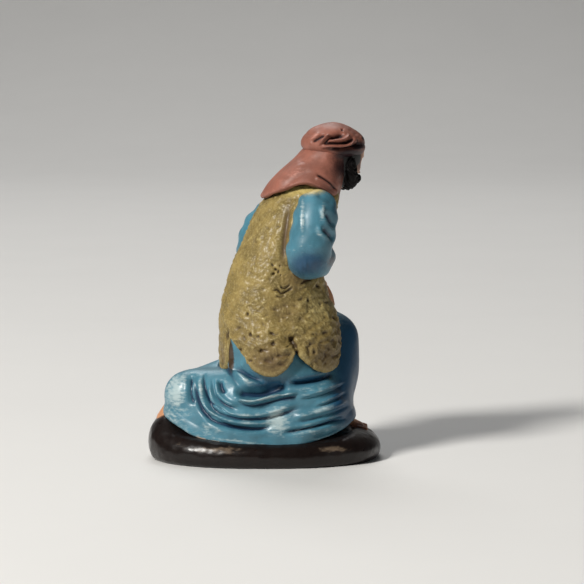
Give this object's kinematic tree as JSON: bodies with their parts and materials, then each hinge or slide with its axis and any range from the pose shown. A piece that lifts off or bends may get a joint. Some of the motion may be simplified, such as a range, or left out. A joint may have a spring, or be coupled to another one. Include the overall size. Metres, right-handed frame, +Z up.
{
  "type": "nativity shepherd figurine",
  "caption": "Small painted kneeling shepherd in robe, fleece vest and turban, moulded in one with its oval ground, for a nativity scene.",
  "frame": {"origin": "middle of the flat underside of the oval ground", "axes": "+Z up, +X the way the figure kneels, along the ground's long axis, +Y towards the figure's left side"},
  "size_m": [0.0488, 0.031, 0.07],
  "materials": {
    "painted_robe": "blue paint over dark wash, satin varnish"
  },
  "bodies": {
    "root": {"shepherd_figurine": "painted_robe"}
  },
  "joints": []
}
